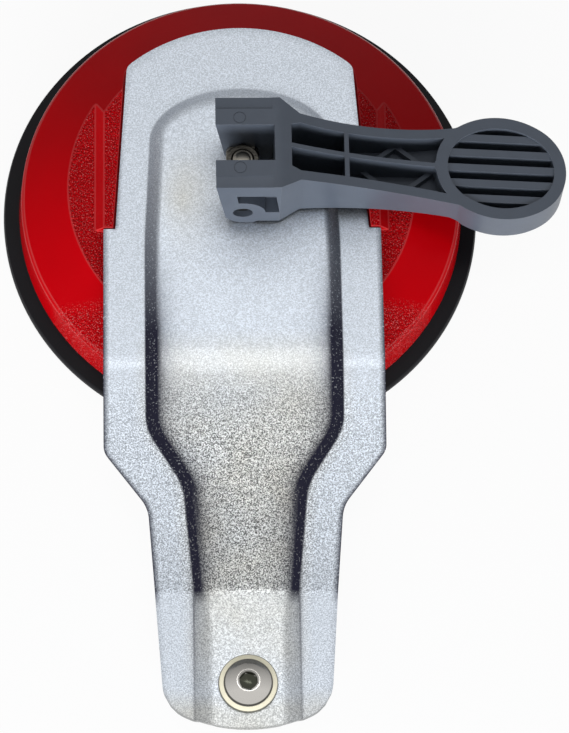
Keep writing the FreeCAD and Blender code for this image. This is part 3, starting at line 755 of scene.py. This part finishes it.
def arm_plate_surface(sizes):
    """Top skin of the arm plate.

    Rows run across the arm. Their columns follow the channel: level floor, rounded top edge,
    wall, rounded foot, flange, margin. The height is the flange's height at that place plus
    the channel's height times the wall's profile. A fan of rays closes the round far end.
    """
    p = Plate
    foot = sizes.channel_foot / MM / p.run
    top = sizes.channel_top / MM / p.run
    wall = np.concatenate([np.linspace(1 + top, 1 - top, 9), [0.5],
                           np.linspace(foot, -foot, 4)])
    floor_share = np.sin(np.linspace(0, math.pi / 2, 12))[:-1]
    flange_share = np.linspace(0, 1, 8)[1:]
    far, side = plate_outline()

    def columns(foot_x, run, edge_x):
        """Places across one row, from the middle to the edge, with their wall shares."""
        on_wall = foot_x[:, None] - wall[None, :] * run[:, None]
        inner = on_wall[:, :1] * floor_share[None, :]
        outer = on_wall[:, -1:] + (edge_x[:, None] - on_wall[:, -1:]) * flange_share[None, :]
        return np.hstack([inner, on_wall, outer])

    share = np.concatenate([np.full(len(floor_share), 1 + top), wall,
                            np.full(len(flange_share), -foot)])
    far_y = np.linspace(p.round_y, p.step_y, 24)
    dense_y = p.bend_y - 8          # rows lie closer from here to the tail
    near_y = np.concatenate([np.linspace(p.step_y, dense_y, 36)[:-1],
                             np.linspace(dense_y, p.tail_row_y, 110)])
    near_y = np.unique(np.append(near_y, np.linspace(p.crease_y - 1, p.crease_y + 1, 13)))[::-1]

    def height(y, walls, run):
        """Soft slope under the channel, sharp slope under the flanges, and the channel on top."""
        emboss = p.emboss + (p.tail_emboss - p.emboss) * np.clip(
            (p.bend_y - y) / (p.bend_y - p.crease_y), 0, 1)
        lift = wall_profile(walls, run, sizes)
        crease, bend = sizes.crease_half / MM, sizes.bend_half / MM
        soft = flange_height(y, bend, crease)
        return lift * soft + (1 - lift) * flange_height(y, crease, crease) + emboss * lift

    def run_at(y):
        """Run of the wall, which widens in the tail."""
        return np.interp(-y, [-p.bend_y, -p.crease_y, -p.tail_row_y], [p.run, p.run, p.tail_run])

    def strip(y_row, edge_x, extra=None, end_y=None):
        """Both halves of a stretch of rows, with a margin out to extra, bent to end_y."""
        x = columns(channel_half_width(y_row), run_at(y_row), edge_x)
        walls = np.repeat(share[None, :], len(y_row), axis=0)
        if extra is not None:
            more = edge_x[:, None] + (extra - edge_x)[:, None] * np.array([[0.5, 1.0]])
            x = np.hstack([x, more])
            walls = np.hstack([walls, np.full((len(y_row), 2), -foot)])
        y = np.repeat(y_row[:, None], x.shape[1], axis=1)
        if end_y is not None:
            rows = np.linspace(0, 1, len(y_row))[:, None]
            y = p.tail_row_y + rows * (end_y(x) - p.tail_row_y)
        x, y, walls = (np.hstack([sign * right[:, :0:-1], right])
                       for sign, right in ((-1, x), (1, y), (1, walls)))
        return np.stack([x, y, height(y, walls, run_at(y))], axis=-1)

    def edge_at(y):
        """Half width of the plate."""
        return np.interp(-y, -side[:, 1], side[:, 0])

    parts = [strip(far_y, np.interp(-far_y, -far[:, 1], far[:, 0]))]
    edge = edge_at(near_y)
    parts.append(strip(near_y, edge - p.margin, extra=edge))

    end_path = side[side[:, 1] < p.tail_row_y]
    turn = np.argmax(np.diff(end_path[:, 0]) < 0.35 * np.diff(end_path[:, 1]))
    low_path = end_path[turn:][::-1]

    def end_y(x):
        """Place of the tail's end at a distance from the middle."""
        return np.interp(np.abs(x), low_path[:, 0], low_path[:, 1])

    tail_rows = np.linspace(p.tail_row_y, low_path[-1, 1], 24)
    edge = np.maximum(edge_at(tail_rows), low_path[-1, 0])
    parts.append(strip(tail_rows, edge - p.margin, extra=edge, end_y=end_y))

    parts.append(round_end(far, wall, share, floor_share, flange_share, sizes))
    return parts


def round_end(far, wall, share, floor_share, flange_share, sizes):
    """Fan of rays over the channel's round end: ellipses for the wall, out to the far rim."""
    p = Plate
    ray = np.linspace(0, math.pi, p.fan_rays)[:, None]
    half = p.end_half - wall[None, :] * p.run
    deep = p.end_length - wall[None, :] * p.end_run
    wall_x, wall_y = half * np.cos(ray), deep * np.sin(ray)
    toward = np.arctan2(wall_y[:, -1:], wall_x[:, -1:])
    rim = far[far[:, 1] >= p.round_y - 6]
    rim = np.vstack([rim[::-1], rim * [-1, 1]])
    rim_angle = np.arctan2(rim[:, 1] - p.round_y, rim[:, 0])
    rim_angle = np.where(rim_angle < -math.pi / 2, rim_angle + 2 * math.pi, rim_angle)
    rim_reach = np.hypot(rim[:, 0], rim[:, 1] - p.round_y)
    reach = np.interp(toward, rim_angle, rim_reach)

    def across(on_wall, on_rim):
        """Places from the middle, over the wall, to the rim."""
        foot = on_wall[:, -1:]
        return np.hstack([on_wall[:, :1] * floor_share, on_wall,
                          foot + (on_rim - foot) * flange_share])

    x = across(wall_x, reach * np.cos(toward))
    y = across(wall_y, reach * np.sin(toward)) + p.round_y
    walls = np.repeat(share[None, :], len(x), axis=0)
    z = p.flange_z + p.emboss * wall_profile(walls, p.run, sizes)
    return np.stack([x, y, z], axis=-1)


def build_arm_plate(sizes, colours):
    """Arm plate: its top skin given the sheet's thickness, pierced, marked and softened."""
    parts = arm_plate_surface(sizes)
    points, faces, count = [], [], 0
    for grid in parts:
        faces.append(grid_faces(grid.shape[0], grid.shape[1]) + count)
        points.append(grid.reshape(-1, 3))
        count += points[-1].shape[0]
    plate = piece("arm_plate_pressed", np.vstack(points), np.vstack(faces), weld=0.02)
    with editing(plate.data) as work:
        bmesh.ops.recalc_face_normals(work, faces=work.faces)
        if sum(face.normal.z for face in work.faces) < 0:
            bmesh.ops.reverse_faces(work, faces=work.faces)
    wall = plate.modifiers.new("sheet", "SOLIDIFY")
    wall.thickness = sizes.sheet
    wall.offset = -1.0
    wall.use_even_offset = True
    settle(plate)
    screw_y = (corners("tail_screw")[0][1] + corners("tail_screw")[1][1]) / 2
    stud_hole_r, screw_hole_r = 3.8, 4.2
    cut_away(plate, [prism(circle(0.0, 0.0, stud_hole_r)),
                     prism(circle(0.0, screw_y, screw_hole_r))])
    mark_plate(plate)
    shade(plate, 40)
    soften(plate, 0.35 * MM, degrees=50)
    finish_piece(plate, "base", "arm_plate", zinc_plate(colours))


def vertex_rows(mesh, name):
    """The three values of a property at every vertex."""
    values = np.empty(len(mesh.vertices) * 3)
    mesh.vertices.foreach_get(name, values)
    return values.reshape(-1, 3)


def mark_plate(plate):
    """Point attributes for the plate's finish and for its painted light and shade, in round shares,
    one for each zone.

    The first mark darkens the walls alike on both sides towards near black: partly the walls' drawn
    finish and partly painted shade and painted dark reflection, with a painted shade line along
    their foot and a band of painted shade beside them. burnish smooths the bend, warm is a faint
    straw tint with one painted warm reflection beside the lever, blasted coarsens the grain of the
    slope, and tone is painted light and shade by zone: brighter at the bend as a painted highlight,
    darker elsewhere as painted shade.
    """
    p = Plate
    place = vertex_rows(plate.data, "co") / MM
    normal = vertex_rows(plate.data, "normal")
    lean = np.hypot(normal[:, 0], normal[:, 1] * (place[:, 1] > p.round_y))
    along = -place[:, 1]
    inside = channel_half_width(place[:, 1]) - np.abs(place[:, 0])
    # Walls darkened more down the channel: partly drawn finish, partly painted shade and painted
    # dark reflection.
    wall = np.clip((lean - 0.12) / 0.4, 0, 1)
    depth = np.interp(along, [-30, 0, 50, 127, 132], [0.2, 0.5, 1, 1, 0.2])
    # A painted shade line along the walls' foot, from the neck into the tail.
    line = np.interp(along, [110, 130, 160], [0, 0.7, 0.4])
    foot = np.exp(-(inside / 0.45) ** 2)
    # A band of painted shade over the upper walls and beside them.
    beside = np.interp(along, [20, 50, 96, 126, 132], [0, 1, 1, 0.6, 0])
    beside = beside * np.exp(-np.clip(inside - p.run, 0, None) / 3) * (inside > 0.3 * p.run)
    drawn_finish_and_painted_shade = np.maximum(np.maximum(wall * depth, beside), line * foot)
    burnish = np.exp(-((place[:, 1] - p.bend_y) / 4.5) ** 2)
    middle = np.clip(inside / 8 + 0.5, 0, 1)
    warm = np.interp(along, [50, 58, 120, 145, 158], [0, 0.7, 1, 0.9, 0.3]) * middle
    warm = np.maximum(warm, np.interp(along, [157, 164], [0, 0.9]))
    # The warm patch left of the lever is a painted warm reflection.
    warm = warm + 0.9 * np.exp(-((place[:, 0] + 17) / 7) ** 2 - ((place[:, 1] + 5) / 14) ** 2)
    blasted = np.interp(along, [40, 62, 70, 84, 127, 129, 150], [0, 0.05, 0.5, 1, 1, 0.25, 0.2])
    blasted = blasted * (0.4 + 0.6 * middle)
    # Painted light and shade by zone, on the channel's top and on the flanges: brighter at the bend
    # as a painted highlight, darker on the far flat, the slope, the neck and parts of the flanges
    # as painted shade.
    zones = [-20, 10, 56, 63, 72, 96, 106, 127, 128]
    top = np.interp(along, zones, [0.9, 1.0, 1.0, 1.1, 0.9, 0.9, 0.8, 0.8, 1.0])
    flange = np.interp(along, [56, 66, 110, 128], [0.9, 1.0, 0.9, 0.8])
    tone = flange + (top - flange) * np.clip(inside / 2, 0, 1)
    for name, values in zip(PLATE_MARKS, (drawn_finish_and_painted_shade, burnish, warm, blasted, tone)):
        attribute = plate.data.attributes.new(name, "FLOAT", "POINT")
        attribute.data.foreach_set("value", values.astype(np.float32))


# ---- operators, one for each piece or group -------------------------------------------------

class LIFTER_OT_cup(bpy.types.Operator):
    """Rubber cup with its rounded lip"""
    bl_idname = "lifter.cup"
    bl_label = "Rubber cup"

    def execute(self, context):
        insert_low, insert_high = corners("pad_insert")
        lip_r, seat_r = corners("suction_pad")[1][0], insert_high[0] + 0.3
        seal_r, dish, lip_t = lip_r - 8.0, 2.6, 3.7
        floor_z, top_z = insert_low[2], insert_high[2]
        dome = np.linspace(0, 1, 24)[:, None]
        under = np.hstack([seal_r * (1 - dome), dish * (1 - (1 - dome) ** 3)])
        path = rounded([(0, floor_z), (seat_r, floor_z), (seat_r, top_z), (seat_r + 4.5, top_z),
                        (seat_r + 6.5, floor_z), (seal_r - 9, 5.4), (seal_r - 4, lip_t),
                        (lip_r - 0.5, lip_t), (lip_r, lip_t - 1.5), (lip_r, 0.0), (seal_r, 0.0)],
                       [0, 0.2, 0.6, 1.0, 3.0, 2.0, 0.4, 0.6, 0.9, 0.25], 0.25)
        cup = lathe("cup_rubber", np.vstack([path, under[1:]]), 192)
        shade(cup)
        cup.data.materials.append(nitrile_rubber(context.scene.lifter_colours))
        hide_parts("suction_pad")
        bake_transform(cup)
        return {"FINISHED"}


class LIFTER_OT_inner(bpy.types.Operator):
    """Return spring of round wire, and finishes for insert, washer, bush, trunnion and pins"""
    bl_idname = "lifter.inner"
    bl_label = "Spring and guide"

    def execute(self, context):
        colours = context.scene.lifter_colours
        low, high = corners("return_spring")
        wire = 1.2
        spring = coil("return_spring_coil", high[0] - wire / 2, wire, low[2], high[2],
                      context.scene.lifter_sizes.turns / 2)
        shade(spring)
        drawn_wire = turned_metal("spring_steel_drawn", colours.wire, 0.35, grain=1.2)
        spring.data.materials.append(drawn_wire)
        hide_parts("return_spring")
        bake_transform(spring)
        coat(["pad_insert", "spring_washer", "trunnion", "pivot_pin_front", "pivot_pin_rear"],
             turned_metal("steel_turned", colours.fastener, 0.34))
        coat(["guide_bush"], natural_nylon(colours))
        return {"FINISHED"}


class LIFTER_OT_fasteners(bpy.types.Operator):
    """Flanged screw and nut on the tail, and the threaded stud with its nut"""
    bl_idname = "lifter.fasteners"
    bl_label = "Screws and nuts"

    def execute(self, context):
        colours = context.scene.lifter_colours
        steel = turned_metal("steel_nickel_plated", colours.fastener, 0.28)
        low, high = corners("tail_screw")
        at = np.array([0.0, (low[1] + high[1]) / 2])
        head_height = 4.4
        seat = high[2] - head_height
        screw = button_screw("tail_screw_flanged", at, low[2], seat, high[2], (high - low)[0] / 2)
        finish_piece(screw, "base", "tail_screw", flanged_screw(colours, at[1]))
        low, high = corners("tail_nut")
        nut = hexagon_nut("tail_nut_thin", at, low[2], high[2], across_flats=13.0, bore_r=4.1)
        finish_piece(nut, "base", "tail_nut", steel)
        low, high = corners("stud_nut")
        nut = hexagon_nut("stud_nut_hexagon", (0, 0), low[2], high[2], across_flats=10.0,
                          bore_r=3.1)
        # The stud nut, set between the lever's ears, gets four tenths of the fasteners' colour.
        dark = turned_metal("steel_darker", tuple(0.4 * c for c in colours.fastener), 0.3,
                            grain=0.9, depth=4 / 15)
        finish_piece(nut, "lift", "stud_nut", dark)
        low, high = corners("lift_stud")
        insert_top = corners("pad_insert")[1][2]
        stud_r, collar_r, pitch = 3.0, 6.0, 1.0
        collar_top, thread_start = insert_top + 3.0, corners("guide_bush")[1][2] + 4.0
        lower = [(0, low[2]), (stud_r, low[2]), (stud_r, insert_top), (collar_r, insert_top),
                 (collar_r, collar_top), (stud_r, collar_top)]
        thread = threaded("lift_stud_threaded", lower, stud_r, pitch, thread_start, high[2])
        finish_piece(thread, "lift", "lift_stud", steel)
        return {"FINISHED"}


class LIFTER_OT_disc(bpy.types.Operator):
    """Red moulded disc with soft edges"""
    bl_idname = "lifter.disc"
    bl_label = "Red disc"

    def execute(self, context):
        colours = context.scene.lifter_colours
        disc = merged_copy("disc_moulding", "base_disc")
        # The second material, a little paler, goes on the bevelled edges as a painted highlight.
        for pale in (0.0, 0.03):
            disc.data.materials.append(red_abs(colours, pale))
        shade(disc, 20)
        soften(disc, context.scene.lifter_sizes.disc_edge, degrees=20)
        even_out(disc)
        finish_piece(disc, "base", "base_disc")
        return {"FINISHED"}


class LIFTER_OT_plate(bpy.types.Operator):
    """Pressed arm plate"""
    bl_idname = "lifter.plate"
    bl_label = "Arm plate"

    def execute(self, context):
        build_arm_plate(context.scene.lifter_sizes, context.scene.lifter_colours)
        return {"FINISHED"}


class LIFTER_OT_lever(bpy.types.Operator):
    """Moulded cam lever"""
    bl_idname = "lifter.lever"
    bl_label = "Lever"

    def execute(self, context):
        sizes, colours = context.scene.lifter_sizes, context.scene.lifter_colours
        lever = merged_copy("lever_moulding", "lever_body")
        # The second material, a little paler, goes on the bevelled edges as a painted highlight.
        for pale in (0.0, 0.05):
            lever.data.materials.append(glass_nylon(colours, pale))
        shade(lever)
        soften(lever, sizes.moulded_edge, 3)
        settle(lever)
        low, high = corners("lever_body")
        floor_z = high[2] - sizes.mark_depth / MM
        ear_y, step_y, top_x = 15.0, 11.25, 9.0
        ring_x, ring_y, ring_r, ring_width = -1.0, 8.3, 1.7, 0.25
        steps = [prism(rectangle(low[0] - 1, side * step_y, top_x, side * (ear_y + 1))[::side],
                       floor_z) for side in (1, -1)]
        outline = rectangle(ring_r, floor_z, ring_r + ring_width, high[2] + 1)
        groove = np.vstack([outline, outline[:1]])
        rings = [outward(moved(lathe("cutter", groove, 48), (ring_x, side * ring_y)))
                 for side in (1, -1)]
        cut_away(lever, steps + rings)
        shade(lever, 40)
        even_out(lever)
        finish_piece(lever, "lever", "lever_body")
        return {"FINISHED"}


class LIFTER_OT_stage(bpy.types.Operator):
    """Pale floor, soft studio lamps and the camera"""
    bl_idname = "lifter.stage"
    bl_label = "Stage"

    def execute(self, context):
        reach, floor_z = 3.0, -0.3 * MM
        mesh = bpy.data.meshes.new("floor")
        mesh.from_pydata([(*corner, floor_z) for corner in rectangle(-reach, -reach, reach, reach)],
                         [], [(0, 1, 2, 3)])
        floor = placed("floor", mesh)
        floor.data.materials.append(floor_paper())
        studio_light(context.scene)
        studio_camera(context.scene)
        return {"FINISHED"}


def studio_light(scene):
    """Even sky and three soft lamps, each (name, direction, distance, width, height, power).

    Only the lamp at the back shows in reflections. Lengths here are metres.
    """
    world = bpy.data.worlds.new("studio")
    world.use_nodes = True
    tree = world.node_tree
    tree.nodes.clear()
    dim = add(tree, "ShaderNodeBackground", {"Color": (0.93, 0.96, 1.0, 1.0), "Strength": 0.17})
    white = add(tree, "ShaderNodeBackground", {"Color": (1.0, 1.0, 1.0, 1.0), "Strength": 1.0})
    mixed = add(tree, "ShaderNodeMixShader", {0: seen_directly(tree),
                                              1: dim.outputs["Background"],
                                              2: white.outputs["Background"]})
    add(tree, "ShaderNodeOutputWorld", {"Surface": mixed.outputs["Shader"]})
    scene.world = world
    lamps = (("back", (0.04, 0.14, 0.99), 1.6, 0.9, 0.22, 3.2),
             ("front", (-0.05, -0.96, 0.26), 1.6, 1.8, 1.0, 50.0),
             ("left", (-0.9, -0.2, 0.4), 1.6, 0.5, 0.9, 4.0))
    aim = Vector((0.01, -0.05, 0.02))
    for name, direction, distance, width, height, power in lamps:
        lamp = bpy.data.lights.new(name, "AREA")
        lamp.shape = "RECTANGLE"
        lamp.size, lamp.size_y, lamp.energy = width, height, power
        holder = bpy.data.objects.new(name, lamp)
        way = Vector(direction).normalized()
        holder.matrix_world = (Matrix.Translation(aim + way * distance)
                               @ way.to_track_quat("Z", "Y").to_matrix().to_4x4())
        holder.visible_glossy = name == "back"
        scene.collection.objects.link(holder)


def studio_camera(scene):
    """Long lens above and in front of the tail, level turned a little."""
    rise, turn, roll = math.radians(68.632), math.radians(-5.478), math.radians(4.704)
    back = Vector((math.sin(turn) * math.cos(rise), -math.cos(turn) * math.cos(rise),
                   math.sin(rise)))
    right = Vector((0, 0, 1)).cross(back).normalized()
    up = back.cross(right)
    turned_right = right * math.cos(roll) + up * math.sin(roll)
    turned_up = up * math.cos(roll) - right * math.sin(roll)
    target = Vector((13.136, -51.090, 0.0)) * MM
    lens = bpy.data.cameras.new("camera")
    lens.lens, lens.sensor_width = 157.02, 36.0
    lens.clip_start, lens.clip_end = 0.05, 20.0
    camera = bpy.data.objects.new("camera", lens)
    turned = Matrix((turned_right, turned_up, back)).transposed().to_4x4()
    camera.matrix_world = Matrix.Translation(target + back) @ turned
    scene.collection.objects.link(camera)
    scene.camera = camera
    scene.view_settings.view_transform = "Standard"


class LIFTER_PT_panel(bpy.types.Panel):
    """Lists the pieces of the lifter"""
    bl_idname = "LIFTER_PT_panel"
    bl_label = "Floor tile lifter"
    bl_space_type = "VIEW_3D"
    bl_region_type = "UI"
    bl_category = "Lifter"

    def draw(self, context):
        for group in (context.scene.lifter_sizes, context.scene.lifter_colours):
            for name in group.bl_rna.properties.keys():
                if name not in ("rna_type", "name"):
                    self.layout.prop(group, name)
        for operator in OPERATORS:
            self.layout.operator(operator.bl_idname)


OPERATORS = (LIFTER_OT_stage, LIFTER_OT_cup, LIFTER_OT_inner, LIFTER_OT_disc,
             LIFTER_OT_plate, LIFTER_OT_fasteners, LIFTER_OT_lever)
CLASSES = (LifterSizes, LifterColours) + OPERATORS + (LIFTER_PT_panel,)


def register():
    for item in CLASSES:
        bpy.utils.register_class(item)
    bpy.types.Scene.lifter_sizes = PointerProperty(type=LifterSizes)
    bpy.types.Scene.lifter_colours = PointerProperty(type=LifterColours)


def unregister():
    del bpy.types.Scene.lifter_colours
    del bpy.types.Scene.lifter_sizes
    for item in reversed(CLASSES):
        bpy.utils.unregister_class(item)


def main():
    """Builds every piece and the stage."""
    register()
    for operator in OPERATORS:
        group, name = operator.bl_idname.split(".")
        getattr(getattr(bpy.ops, group), name)()
    bpy.context.view_layer.update()


if __name__ == "__main__":
    main()
